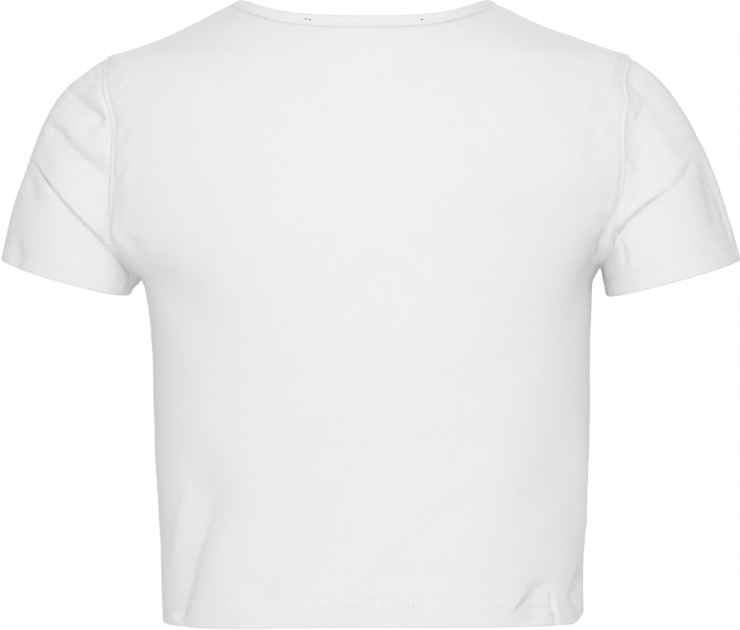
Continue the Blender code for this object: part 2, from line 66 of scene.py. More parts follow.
torso = {  # the filled-out form: its sides, its depth back and front, and its hem's height
    "sides": table(
        "z      left   right",
        (6,     74,    68),
        (0,     86.5,  79.5),
        (-5,    97.2,  88.5),
        (-12.3, 110.2, 102.4),
        (-18.2, 122.7, 116.8),
        (-24.2, 136,   134.6),
        (-29.5, 149.5, 150),
        (-34.3, 163.2, 165.2),
        (-37.5, 174,   174.5),
        (-45,   183.5, 181),
        (-55,   188.5, 184.7),
        (-70,   194,   191),
        (-100,  196.4, 190),
        (-120,  193,   184.3),
        (-140,  187.5, 173),
        (-155,  180,   165),
        (-165,  171.5, 159.5),
        (-175,  160.5, 153),
        (-187,  149.5, 146.6),
        (-200,  147,   145.6),
        (-220,  144.6, 144.9),
        (-260,  142.2, 145.4),
        (-300,  141.1, 144.1),
        (-340,  138.7, 141.6),
        (-380,  137.1, 140.6),
        (-415,  136.1, 141.3)),
    "calm": table(  # half widths away from the sides, where the armpits' sharp turn fades
        "z     width",
        (6,    71),
        (-100, 193.2),
        (-122, 187.4),
        (-150, 175.5),
        (-180, 162),
        (-210, 151.5),
        (-250, 145.3),
        (-300, 142.6),
        (-340, 140.2),
        (-415, 138.7)),
    "calmReach": (-100, -125, -290, -320),  # it sets in and ends between these heights
    "sidePower": 4,
    "depths": table(
        "z     back  front squareness",
        (6,    53,   36,   2),
        (-20,  62,   47,   2),
        (-60,  78,   66,   2.05),
        (-100, 89,   86,   2.1),
        (-130, 94.5, 98,   2.15),
        (-160, 96,   108,  2.2),
        (-215, 93,   117,  2.3),
        (-260, 90,   116,  2.35),
        (-330, 88,   112,  2.4),
        (-415, 89,   109,  2.5)),
    "hemline": table(
        "place  z",
        (-1,    -401.2),
        (-0.88, -404.6),
        (-0.74, -408.4),
        (0,     -407.2),
        (0.6,   -409.6),
        (0.93,  -409.6),
        (1,     -408)),
    "shoulderPoint": -2.6}

armholes = {  # heights of shoulder tip and armpit, reach back (1) and forward (-1)
    "left": {"sign": 1, "tip": -36.8, "pit": -183.9, 1: 48, -1: 55},
    "right": {"sign": -1, "tip": -34.2, "pit": -176.2, 1: 48, -1: 55}}

seams = {
    "groove": 0.45,         # side and shoulder seams sink by this much
    "grooveSpan": 0.8,
    "ridge": 0.62,          # an armhole seam rolls up, most on the panel's side
    "ridgePlace": 0.5,
    "ridgeSpan": 0.95,
    "dip": 0.14,            # and the cloth sinks on both sides of it
    "dipPlace": 3,
    "dipSpan": 1.5,
    "pucker": 0.32,         # small gathers along an armhole
    "puckerReach": 9,
    "puckerLength": 13,
    "puckerSeed": 5,        # added to the piece's seed
    "strayReach": 11,
    # near the armpit, seams and cloth lie further back: height, span, reach and by how much
    "underarm": {"left": (-167, 16, 15, 8.5), "right": (-163, 20, 12, 6)},
    "neckValley": (5.5, 3.2, 0.5),  # under the neckband: how far, how wide, how deep
    "neckValleyMiddle": (12, 55),   # where across it is deepest, and its reach from there
    # creases and drape set in over these distances: from a panel's seams and neck, from a sleeve's
    "panelQuiet": (6, 8),
    "sleeveQuiet": 5,
    "armholeEnds": 0.2,     # an armhole's seam sets in over this sine of its turn
    "puckerPeak": 2.7}      # brings the gathers' greatest height to about 1

grids = {  # how finely the cloth is laid out
    "edgePlaces": (0, 0.0018, 0.0045, 0.0075, 0.011, 0.0155, 0.021, 0.028),
    "innerColumns": 213, "innerEdge": 0.963, "columnPower": 1.12,
    "hemRows": np.concatenate([(0, 0.5, 1.2, 2, 3, 4, 5, 6, 7, 8, 9, 10, 11),
                               np.arange(11.5, 20.6, 0.5)]),
    "bodyRows": 81, "armholeRows": 78, "shoulderRows": 16,
    "sleeveColumns": 300, "sleeveRows": 98, "waveLimit": 4,
    "ringRows": np.array([7, 5.3, 4, 3, 2.2, 1.6, 1.2, 0.8, 0.4, 0]),
    "ringRoom": 14,         # where a sleeve is shorter than this, the rows at its seam close up
    "gather": 1.5, "dipSteepness": 4, "neckSamples": 601, "runSamples": 161, "creaseSamples": 25,
    "leastFacing": 0.05,    # a crease lies only where the cloth faces its side by more than this
    "probe": 10, "girthRow": 40}    # where a grid's handedness and a sleeve's girth are measured


# Curves and small helpers

def curveThrough(knots, values, places):
    # cubic pieces whose slope at a knot is the harmonic mean of its neighbours' and 0 at a turn
    order = np.argsort(knots)
    knots, values = knots[order], values[order]
    steps = np.diff(knots)
    slopes = np.diff(values) / steps
    before, after = slopes[:-1], slopes[1:]
    sameWay = before * after > 0
    total = np.where(sameWay, before + after, 1)
    inner = np.where(sameWay, 2 * before * after / total, 0)
    tangents = np.concatenate(([slopes[0]], inner, [slopes[-1]]))
    places = np.clip(places, knots[0], knots[-1])
    i = np.clip(np.searchsorted(knots, places, "right") - 1, 0, len(steps) - 1)
    t = (places - knots[i]) / steps[i]
    rise = values[i + 1] - values[i]
    return (values[i] + rise * t * t * (3 - 2 * t)
            + tangents[i] * steps[i] * t * (1 - t) ** 2
            - tangents[i + 1] * steps[i] * t * t * (1 - t))


def follow(rows, column, places, by="z"):  # a table's column as a curve through its rows
    return curveThrough(rows[by], rows[column], places)


def unit(vectors):  # each over its own length
    return vectors / np.maximum(np.linalg.norm(vectors, axis=-1, keepdims=True), 1e-12)


def smoothstep(value, low, high):  # 0 below low, 1 above high, 3t^2 - 2t^3 between
    t = np.clip((value - low) / (high - low), 0, 1)
    return t * t * (3 - 2 * t)


def hump(value, place, span):  # exp of minus the squared distance over the span
    return np.exp(-((value - place) / span) ** 2)


def signedPower(value, power):  # |value|^power with the value's sign
    return np.sign(value) * np.abs(value) ** power


def ripples(points, wavelength, seed):  # twelve sine waves in drawn directions, about 1 in size
    draw = np.random.default_rng(seed)
    total = np.zeros(points.shape[:-1])
    for _ in range(12):
        heading = unit(draw.normal(size=3)) * math.tau / (wavelength * draw.uniform(0.7, 1.5))
        total += np.sin(points @ heading + draw.uniform(0, math.tau))
    return total / math.sqrt(6)


def lengthsAlong(points, axis):  # how far along its row or column each point of a grid lies
    steps = np.linalg.norm(np.diff(points, axis=axis), axis=-1)
    start = np.zeros_like(np.take(steps, [0], axis=axis))
    return np.concatenate([start, np.cumsum(steps, axis=axis)], axis=axis)


# The filled-out form

def widths(z):  # half width, and how far the middle leans to the left
    left, right = follow(torso["sides"], "left", z), follow(torso["sides"], "right", z)
    return (left + right) / 2, (left - right) / 2


def depth(z, side):  # how far the form stands back or forward at its middle
    return follow(torso["depths"], "back" if side > 0 else "front", z)


def form(angle, z, side):
    # half a superellipse at each height: x = w sin^(2/n), y = d cos^(2/n), with w the calm half
    # width c: the sides' own comes in as x + (w - c) sin^4
    halfWidth, lean = widths(z)
    power = 2 / follow(torso["depths"], "squareness", z)
    high, full, low, lowest = torso["calmReach"]
    calm = follow(torso["calm"], "width", z) - halfWidth
    calm = calm * smoothstep(-z, -high, -full) * smoothstep(z, lowest, low)
    x = lean + (halfWidth + calm) * signedPower(np.sin(angle), power)
    x = x - calm * signedPower(np.sin(angle), torso["sidePower"])
    y = side * depth(z, side) * signedPower(np.cos(angle), power)
    return np.stack([x, y, z], axis=-1)


def formNormal(angle, z, side):  # the cross product of its slopes up and across
    little = cloth["little"]
    across = form(angle + little, z, side) - form(angle - little, z, side)
    up = form(angle, z + little, side) - form(angle, z - little, side)
    return side * unit(np.cross(up, across))


def angleAtDepth(y, z, side):  # form's y solved for the angle: arccos (|y| / d)^(n/2)
    share = np.abs(y) / depth(z, side)
    return np.arccos(np.clip(share ** (follow(torso["depths"], "squareness", z) / 2), 0, 1))


def angleAtWidth(x, z):  # form's x solved for it: arcsin ((x - lean) / w)^(n/2), sign kept
    halfWidth, lean = widths(z)
    share = np.clip((x - lean) / halfWidth, -1, 1)
    return np.arcsin(signedPower(share, follow(torso["depths"], "squareness", z) / 2))


def armholeEdge(name, turn, side):
    # z = middle + half height cos(turn), y = reach sin(turn), from shoulder tip (0) to armpit (pi)
    hole = armholes[name]
    middle, halfHeight = (hole["tip"] + hole["pit"]) / 2, (hole["tip"] - hole["pit"]) / 2
    z = middle + halfHeight * np.cos(turn)
    return z, angleAtDepth(hole[side] * np.sin(turn), z, side)


def neckline(panel):
    # heights fall from the shoulder points by drop (1 - |sin|^flatness), or by drop cos
    side = panel["side"]
    top = torso["shoulderPoint"]
    halfWidth, lean = widths(np.array(top))
    turn = np.linspace(-rightAngle, rightAngle, grids["neckSamples"])
    x = lean + np.sin(turn) * halfWidth
    if panel["neckFlatness"]:
        z = top - panel["neckDrop"] * (1 - np.abs(np.sin(turn)) ** panel["neckFlatness"])
    else:
        z = top - panel["neckDrop"] * np.cos(turn)
    angle = angleAtWidth(x, z)
    length = lengthsAlong(form(angle, z, side), 0)
    return angle, z, length / length[-1]


def panelPlaces():  # columns from right (-1) to left (1), close together at the edges
    inner = np.linspace(-1, 1, grids["innerColumns"])
    inner = grids["innerEdge"] * signedPower(inner, grids["columnPower"])
    edge = 1 - np.array(grids["edgePlaces"])
    return np.concatenate([-edge, inner, edge[::-1]])


def panelGrid(panel):
    # rows of (angle, height) on the form: they end on the side seams, then on the armholes, then
    # on the shoulder seams, and the last is the neckline; and each row's turn round the armholes
    side, place = panel["side"], panelPlaces()

    def across(key, places):  # a straight line between the two armholes' heights
        left, right = armholes["left"][key], armholes["right"][key]
        return (left + right) / 2 + places * (left - right) / 2

    hem = curveThrough(torso["hemline"]["place"], torso["hemline"]["z"], place)
    top = grids["hemRows"][-1]
    shares = np.linspace(0, 1, grids["bodyRows"] + 1)[1:, None]
    body = hem + top + shares * (across("pit", place) - hem - top)
    flank = np.concatenate([hem + grids["hemRows"][:, None], body])
    flankAngle = np.tile(place * rightAngle, (len(flank), 1))

    turn = np.linspace(math.pi, 0, grids["armholeRows"] + 1)
    turn = np.delete(turn, (0, 1, -2))[:, None]  # the first and last rows would lie too close
    leftZ, leftAngle = armholeEdge("left", turn, side)
    rightZ, rightSideAngle = armholeEdge("right", turn, side)
    leftShare, rightShare = (1 + place) / 2, (1 - place) / 2
    gather = ((1 + np.cos(turn)) / 2) ** grids["gather"]
    reach = leftShare * leftAngle + rightShare * rightSideAngle
    yokeAngle, steepness = place * reach, grids["dipSteepness"]
    dip = panel["yokeDip"] * (np.cos(yokeAngle) ** steepness - np.cos(reach) ** steepness)
    yoke = leftShare * leftZ + rightShare * rightZ - gather * dip

    shares = np.linspace(0, 1, grids["shoulderRows"] + 1)[1:, None]
    neckAngle, neckZ, neckLength = neckline(panel)
    evenAngle = np.interp((place + 1) / 2, neckLength, neckAngle)
    shoulderAngle = (1 - shares) * place * rightAngle + shares * evenAngle
    dip = panel["yokeDip"] * np.cos(shoulderAngle) ** grids["dipSteepness"]
    tipRow = across("tip", shoulderAngle / rightAngle) - dip
    shoulder = tipRow + shares * (np.interp(shoulderAngle, neckAngle, neckZ) - tipRow)

    z = np.concatenate([flank, yoke, shoulder])
    angle = np.concatenate([flankAngle, yokeAngle, shoulderAngle])
    turns = np.concatenate([np.zeros(len(flank)), turn[:, 0], np.zeros(len(shoulder))])
    return form(angle, z, side), formNormal(angle, z, side), turns


# Creases, seams and drape, all as heights along the form's outward directions

def lift(points, normals, x, z, side):  # the grid's points nearest to x and z on its back or front
    facing = normals[..., 1] * side > grids["leastFacing"]
    flat = points[facing]
    apart = (flat[None, :, 0] - x[:, None]) ** 2 + (flat[None, :, 2] - z[:, None]) ** 2
    nearest = np.argmin(apart, axis=1)
    return flat[nearest], normals[facing][nearest]


def creaseHeights(points, normals, rows):
    # each runs along a bent line; with q the distance from it over its half width, the trough is
    # -depth exp(-|q|^power), steeper on its left, where a roll exp(-(q - place)^2) stands
    t = np.linspace(0, 1, grids["creaseSamples"])
    heights = np.zeros(points.shape[:2])
    for i in range(len(rows["side"])):
        row = {name: column[i] for name, column in rows.items()}
        middleX = 2 * row["x2"] - (row["x1"] + row["x3"]) / 2
        middleZ = 2 * row["z2"] - (row["z1"] + row["z3"]) / 2
        x = (1 - t) ** 2 * row["x1"] + 2 * t * (1 - t) * middleX + t * t * row["x3"]
        z = (1 - t) ** 2 * row["z1"] + 2 * t * (1 - t) * middleZ + t * t * row["z3"]
        path, outward = lift(points, normals, x, z, row["side"])
        path[:, 0], path[:, 2] = x, z
        near = np.full(heights.shape, np.inf)
        along, hand = np.zeros(heights.shape), np.zeros(heights.shape)
        for k in range(len(t) - 1):
            step = path[k + 1] - path[k]
            offset = points - path[k]
            reach = np.clip((offset @ step) / (step @ step), 0, 1)
            away = offset - reach[..., None] * step
            distance = np.linalg.norm(away, axis=-1)
            closer = distance < near
            near = np.where(closer, distance, near)
            along = np.where(closer, (k + reach) / (len(t) - 1), along)
            hand = np.where(closer, away @ np.cross(outward[k], step), hand)
        q = near / row["width"]
        left = hand > 0
        trough = -row["depth"] * np.exp(-(q * np.where(left, row["steep"], 1)) ** row["power"])
        roll = row["roll"] * left * hump(q, cloth["rollPlace"], 1)
        taper = smoothstep(along, 0, row["start"]) * smoothstep(1 - along, 0, row["stop"])
        heights += taper * (trough + roll)
    return heights


def hemHeights(fromHem):  # each row of stitches pulls the cloth in
    rows = [hump(fromHem, place, cloth["stitchSpan"]) for place in cloth["stitchRows"]]
    return -cloth["stitchSink"] * sum(rows)


def thicknessAt(fromHem):  # one layer, and more over the turned-up hem
    share = 1 - smoothstep(fromHem, cloth["hemDepth"], cloth["hemDepth"] + cloth["hemStep"])
    return cloth["thickness"] + (cloth["hemThickness"] - cloth["thickness"]) * share


def drapeHeights(points, seed):  # ripples of each wavelength, one on another
    return sum(height * ripples(points, wavelength, seed + i)
               for i, (wavelength, height) in enumerate(cloth["drape"]))


def ridgeHeights(across):  # an armhole's ridge and the dips beside it, negative on the sleeve
    dipPlaces = (seams["dipPlace"], -seams["dipPlace"])
    dips = sum(hump(across, place, seams["dipSpan"]) for place in dipPlaces)
    return seams["ridge"] * hump(across, seams["ridgePlace"], seams["ridgeSpan"]) - seams["dip"] * dips


def puckers(points, fromSeam, seed):  # gathers: ripples times n exp(-n), n the share of their reach
    near = fromSeam / seams["puckerReach"]
    rise = seams["pucker"] * seams["puckerPeak"] * near * np.exp(-near)
    return rise * ripples(points, seams["puckerLength"], seed + seams["puckerSeed"])


strayShifts = {  # how far the back's armhole seams stray outwards
    "left": table(
        "z     shift",
        (-36,  0),
        (-42,  -1.4),
        (-48,  0),
        (-54,  1.3),
        (-60,  2.2),
        (-68,  0.7),
        (-79,  -0.9),
        (-90,  -1.8),
        (-135, -1.8),
        (-150, -0.4),
        (-156, 0.8),
        (-163, 1),
        (-171, 0.4),
        (-184, 0)),
    "right": table(
        "z     shift",
        (-34,  0),
        (-39,  -0.6),
        (-48,  -0.5),
        (-59,  1.2),
        (-77,  2.8),
        (-96,  2.7),
        (-135, 2.6),
        (-150, 1.6),
        (-160, 0),
        (-181, 0))}


def strays(name, z, fromSeam):  # how far a seam and the cloth beside it stray outwards
    shift = follow(strayShifts[name], "shift", z)
    return armholes[name]["sign"] * shift * hump(fromSeam, 0, seams["strayReach"])


def underarm(name, z, fromSeam):  # and backwards near the armpit, a hump in height and in distance
    place, span, reach, most = seams["underarm"][name]
    return most * hump(z, place, span) * hump(fromSeam, 0, reach)


# Meshes

def cornersOf(grid):  # the four corners of each face between neighbouring rows and columns
    corners = [grid[:-1, :-1], grid[:-1, 1:], grid[1:, 1:], grid[1:, :-1]]
    return np.stack(corners, axis=2).reshape(-1, 4, *grid.shape[2:])


def linked(name, data):  # an object of this data, in the scene
    thing = bpy.data.objects.new(name, data)
    bpy.context.scene.collection.objects.link(thing)
    return thing


def addPiece(name, vertices, quads, corners=None):  # a mesh in metres, with its lengths as UVs
    mesh = bpy.data.meshes.new(name)
    mesh.from_pydata((vertices * mm).tolist(), [], quads.tolist())
    if corners is not None:
        layer = mesh.uv_layers.new(name="cloth")
        layer.data.foreach_set("uv", corners.astype(np.float32).ravel())
    mesh.update()
    mesh.shade_smooth()
    return linked(name, mesh)


def clothPiece(node, outer, normals, thickness, lengths, closed):
    # one closed section for each column: down the inside, round the hem's fold, up the outside;
    # closed is the length round a tube, or 0
    inner = outer - thickness[..., None] * normals
    if closed:
        lengths = np.concatenate([lengths, lengths[:, :1] + closed * np.array([1, 0])], axis=1)
    k = grids["probe"]
    across, up = outer[k, k + 1] - outer[k, k], outer[k + 1, k] - outer[k, k]
    if np.dot(np.cross(across, up), normals[k, k]) < 0:
        outer, inner, lengths = outer[:, ::-1], inner[:, ::-1], lengths[:, ::-1]
    down = unit(outer[0] - outer[1])
    half, middle = (outer[0] - inner[0]) / 2, (outer[0] + inner[0]) / 2
    reach = np.linalg.norm(half, axis=-1, keepdims=True)
    past = cloth["foldReach"] * reach * down
    fold = [middle - half / 2 + past, middle + half / 2 + past]
    section = np.concatenate([inner[::-1], fold, outer])
    rows, columns = section.shape[:2]
    index = np.arange(rows * columns).reshape(rows, columns)
    if closed:
        index = np.hstack([index, index[:, :1]])
    loop = np.concatenate([lengths[::-1], lengths[:1], lengths[:1], lengths])
    index, loop = np.vstack([index, index[:1]]), np.concatenate([loop, loop[:1]])
    quads, corners = cornersOf(index), cornersOf(loop)
    if not closed:  # the two edges along the seams
        side = np.arange(rows // 2)
        cap = np.stack([side, side + 1, rows - 2 - side, rows - 1 - side], axis=-1)
        for column, order in ((0, slice(None)), (columns - 1, slice(None, None, -1))):
            quads = np.concatenate([quads, (cap * columns + column)[:, order]])
            corners = np.concatenate([corners, loop[cap, column][:, order]])
    return addPiece(node + "_cloth", section.reshape(-1, 3), quads, corners)


# The back and the front

# Creases: which side, three points, half width, depth, roll on the left as one follows it, how
# much steeper that side is, the power of the trough's fall, and the shares of its length over
# which it sets in and dies out
creaseColumns = "side x1 z1 x2 z2 x3 z3 width depth roll steep power start stop"

backPanel = {
    "node": "back_panel", "side": 1, "seed": 11,
    "neckDrop": 17.7, "neckFlatness": 3.1, "yokeDip": 30,
    "flat": (0.44, 0.43), "area": 0.168,
    "creases": table(
        creaseColumns,
        (1, 98, -308, 117.5, -372, 127, -409, 12, 5.8, 0.2, 1.4, 1.5, 0.5, 0.12),
        (1, 121, -386, 125, -398, 127.5, -411, 2.2, 0.6, 0.2, 1.6, 1.6, 0.5, 0.05),
        (1, 109, -368, 110, -324, 110, -276, 24, 5.4, 0, 1, 2, 0.4, 0.5),
        (1, 118, -308, 125.5, -342, 131, -378, 6, -1.4, 0, 1, 2, 0.35, 0.45),
        (1, 41, -318, 58, -366, 78, -402, 21, 3.4, 0, 2.2, 1.6, 0.4, 0.25),
        (1, -118, -380, -120, -397, -121, -411, 2.2, 1.8, 0.4, 1.8, 1.4, 0.4, 0.03),
        (1, -131, -400, -136, -388, -139.5, -374, 8, 3.8, 0, 1, 2, 0.35, 0.3),
        (1, -100, -386, -106, -394, -111, -407, 13, 4.6, 0, 1, 2, 0.4, 0.3),
        (1, -96, -380, -110, -383, -124, -380, 3.4, 1.2, 0.2, 1.2, 2, 0.4, 0.4),
        (1, -139, -268, -139, -318, -137.5, -368, 11, -2.4, 0, 1, 2, 0.4, 0.3),
        (1, -134, -270, -114, -318, -86, -350, 15, 2.2, 0, 1, 2, 0.4, 0.5),
        (1, 157, -152, 150, -168, 143, -184, 5.5, 0.9, 0, 1, 2, 0.35, 0.6),
        (1, 151, -166, 121, -199, 80, -222, 19, 2.8, 0, 1, 2, 0.35, 0.6),
        (1, -164, -138, -147, -176, -114, -240, 18, 5.4, 0, 1, 2, 0.35, 0.5),
        (1, 60, -21, 30, -23.5, -2, -24, 2.2, 0.35, 0, 1, 2, 0.3, 0.3))}

frontPanel = {
    "node": "front_panel", "side": -1, "seed": 12,
    "neckDrop": 84, "neckFlatness": None, "yokeDip": 56,
    "flat": (0.46, 0.41), "area": 0.166,
    "creases": table(
        creaseColumns,
        (-1, -119, -408, -106, -370, -90, -330, 3.6, 1.9, 0.5, 1.5, 1.7, 0.05, 0.55),
        (-1, -128, -400, -127, -366, -124, -328, 4, 0.9, 0.2, 1, 2, 0.3, 0.4),
        (-1, 64, -400, 53, -366, 38, -326, 7.5, 0.9, 0.2, 1.2, 2, 0.4, 0.5),
        (-1, 125, -404, 122, -384, 119, -356, 5, 1.2, 0.2, 1.2, 1.9, 0.3, 0.5),
        (-1, -20, -402, -28, -370, -40, -336, 9, 0.5, 0, 1, 2, 0.4, 0.5),
        (-1, 140, -196, 118, -180, 90, -172, 6, 1.8, 0.5, 1.3, 1.8, 0.15, 0.6),
        (-1, 132, -208, 112, -196, 84, -192, 7, 0.9, 0.3, 1.2, 2, 0.2, 0.6),
        (-1, -140, -192, -116, -178, -88, -172, 6, 1.9, 0.5, 1.3, 1.8, 0.15, 0.6),
        (-1, -134, -206, -110, -198, -82, -196, 7, 0.8, 0.3, 1.2, 2, 0.2, 0.6),
        (-1, 152, -150, 146, -170, 139, -190, 7, 1.4, 0, 1, 2, 0.3, 0.6),
        (-1, -150, -146, -145, -166, -138, -186, 7, 1.4, 0, 1, 2, 0.3, 0.6))}


def panelCloth(panel):
    # height = seams + gathers + creases + drape - stitches' pull - the valley under the neckband
    points, normals, turns = panelGrid(panel)
    side = panel["side"]
    sideways, upwards = lengthsAlong(points, 1), lengthsAlong(points, 0)
    fromRight, fromLeft = sideways, sideways[:, -1:] - sideways
    fromSeam = np.minimum(fromLeft, fromRight)
    onArmhole = smoothstep(np.sin(turns), 0, seams["armholeEnds"])[:, None]

    groove = -seams["groove"] * hump(fromSeam, 0, seams["grooveSpan"])
    heights = (1 - onArmhole) * groove + onArmhole * ridgeHeights(fromSeam)
    heights += onArmhole * puckers(points, fromSeam, panel["seed"])
    fromNeck = upwards[-1] - upwards
    quiet, neckQuiet = seams["panelQuiet"]
    inside = smoothstep(fromSeam, 0, quiet) * smoothstep(fromNeck, 0, neckQuiet)
    heights += inside * (creaseHeights(points, normals, panel["creases"])
                         + drapeHeights(points, panel["seed"]))
    place, span, deep = seams["neckValley"]
    deep = deep * hump(points[..., 0], *seams["neckValleyMiddle"])
    heights += hemHeights(upwards) - deep * hump(fromNeck, place, span)
    points = points + heights[..., None] * normals
    z = points[..., 2]
    if side > 0:
        points[..., 0] += onArmhole * (strays("left", z, fromLeft) + strays("right", z, fromRight))
    points[..., 1] += underarm("left", z, fromLeft) + underarm("right", z, fromRight)
    middle = sideways[:, [sideways.shape[1] // 2]]
    lengths = np.stack([sideways - middle, upwards], axis=-1)
    piece = clothPiece(panel["node"], points, normals, thicknessAt(upwards), lengths, 0)
    return piece, points, normals


# The sleeves

leftSleeve = {
    "node": "sleeve_left", "seed": 21,
    "flat": (0.36, 0.19), "area": 0.036,
    "centre": (202, -6, -180.9), "halfWidth": 44.9, "halfDepth": 52,
    "tilt": 15.3, "pitch": 5.2,     # the outer side stands higher, the back lower
    # how far the cloth runs on from the armhole and comes straight to the cuff: the mean and
    # the first and second cosines of the way round from the shoulder tip
    "leave": (25, 20, -1), "arrive": (51.3, 49.5, 3.2), "squareness": 2.7,
    "creases": table(
        creaseColumns,
        (1, 225, -102.5, 197.5, -136.5, 164, -167, 1.7, 3, 0.2, 2.4, 1.2, 0.16, 0.1),
        (1, 170, -161, 163, -171.5, 155, -183, 1.6, 3, 0.1, 1.4, 1.3, 0.2, 0.08),
        (1, 177, -162, 169, -174, 161, -188, 10, -2, 0, 1, 2, 0.4, 0.3),
        (1, 226, -113, 222, -125, 215, -140, 6.5, 2.6, 0, 1, 1.8, 0.35, 0.5),
        (1, 202, -57, 188, -69, 173, -82, 4.8, 3.2, 0.5, 1.6, 1.7, 0.3, 0.12),
        (1, 215.5, -78, 194.5, -99, 171, -120, 6, 4.2, 0.4, 1.6, 1.7, 0.2, 0.3),
        (1, 206, -83, 202, -88, 197, -93, 3, 1.6, 0.2, 1.4, 1.7, 0.4, 0.5),
        (1, 184, -44, 181, -49, 178, -55, 2.5, 1.1, 0.2, 1.3, 1.8, 0.3, 0.3),
        (1, 190, -84, 184, -88, 177, -93, 2.4, 0.9, 0.2, 1.2, 2, 0.4, 0.4),
        (1, 230, -181, 232.5, -167, 232, -147, 8.5, 3.6, 0, 1, 1.8, 0.4, 0.5),
        (1, 162, -193.5, 159, -185.7, 152, -178, 2.4, 2.1, 0.6, 1.8, 1.4, 0.05, 0.1),
        (1, 169, -168, 168, -174, 166, -181, 3, 0.5, 0, 1, 2, 0.4, 0.4),
        (-1, 196, -78, 207, -88, 215, -99, 4.6, 1.5, 0.3, 1.4, 1.8, 0.4, 0.45),
        (-1, 158, -180, 190, -146, 216, -116, 3, 2.2, 1, 1.8, 1.5, 0.06, 0.3),
        (-1, 172, -120, 190, -104, 206, -86, 3.2, 1, 0.3, 1.3, 1.8, 0.3, 0.4),
        (-1, 176, -78, 188, -70, 198, -60, 2.8, 0.8, 0.3, 1.3, 1.8, 0.3, 0.3),
        (-1, 216, -146, 218, -162, 217, -176, 4, 1, 0, 1, 2, 0.4, 0.3))}

rightSleeve = {
    "node": "sleeve_right", "seed": 22,
    "flat": (0.37, 0.2), "area": 0.038,
    "centre": (-201.5, -6, -182.1), "halfWidth": 46.3, "halfDepth": 52,
    "tilt": 15.4, "pitch": 3,
    "leave": (23.7, 16.5, -2.2), "arrive": (45.5, 38, -0.5), "squareness": 2.7,
    "creases": table(
        creaseColumns,
        (1, -150, -170, -171, -144, -206, -120, 1.7, 2.7, 1.2, 2.2, 1.3, 0.1, 0.35),
        (1, -196, -126.5, -206, -116, -215, -101, 3.5, 1.8, 0.2, 1.3, 1.8, 0.3, 0.4),
        (1, -210, -92, -233.5, -134, -237, -172, 17, 4.2, 0.2, 5, 1.7, 0.4, 0.45),
        (1, -214, -102, -227, -134, -226.5, -165, 9.5, 2.8, 0, 1.2, 1.8, 0.35, 0.4),
        (1, -166, -177, -165.5, -166, -163, -155, 2, 1.1, 0.3, 1.3, 1.7, 0.2, 0.4),
        (1, -171, -81, -176, -75, -181, -69, 2.2, 0.45, 0.2, 1.2, 2, 0.3, 0.4),
        (1, -171, -104, -177, -99, -184, -92, 2.2, 0.45, 0.2, 1.2, 2, 0.3, 0.4),
        (1, -176, -110, -183, -105, -190, -100, 2.6, 0.4, 0.2, 1.2, 2, 0.3, 0.4),
        (1, -204, -101, -211, -94, -218, -86, 3.5, 0.5, 0.2, 1.2, 2, 0.3, 0.4),
        (1, -152, -176, -156, -185, -161, -198, 2, 1.6, 0.4, 1.4, 1.5, 0.1, 0.05),
        (-1, -218, -112, -188, -142, -156, -176, 3, 2.1, 1, 1.8, 1.5, 0.3, 0.06),
        (-1, -206, -88, -190, -106, -172, -122, 3.2, 0.9, 0.3, 1.3, 1.8, 0.4, 0.3),
        (-1, -216, -176, -218, -162, -216, -144, 4, 1, 0, 1, 2, 0.3, 0.4))}

sleeves = {"left": leftSleeve, "right": rightSleeve}


def armholeRing(name):  # shoulder tip, down the back, armpit, up the front
    turns = np.linspace(0, math.tau, grids["sleeveColumns"], endpoint=False)
    back = turns <= math.pi
    fromTip = np.where(back, turns, math.tau - turns)
    z, angle = armholeEdge(name, fromTip, 1)
    frontZ, frontAngle = armholeEdge(name, fromTip, -1)
    angle, frontAngle = (armholes[name]["sign"] * a for a in (angle, frontAngle))
    ring = np.where(back[:, None], form(angle, z, 1), form(frontAngle, frontZ, -1))
    outward = np.where(back[:, None], formNormal(angle, z, 1), formNormal(frontAngle, frontZ, -1))
    return turns, ring, outward


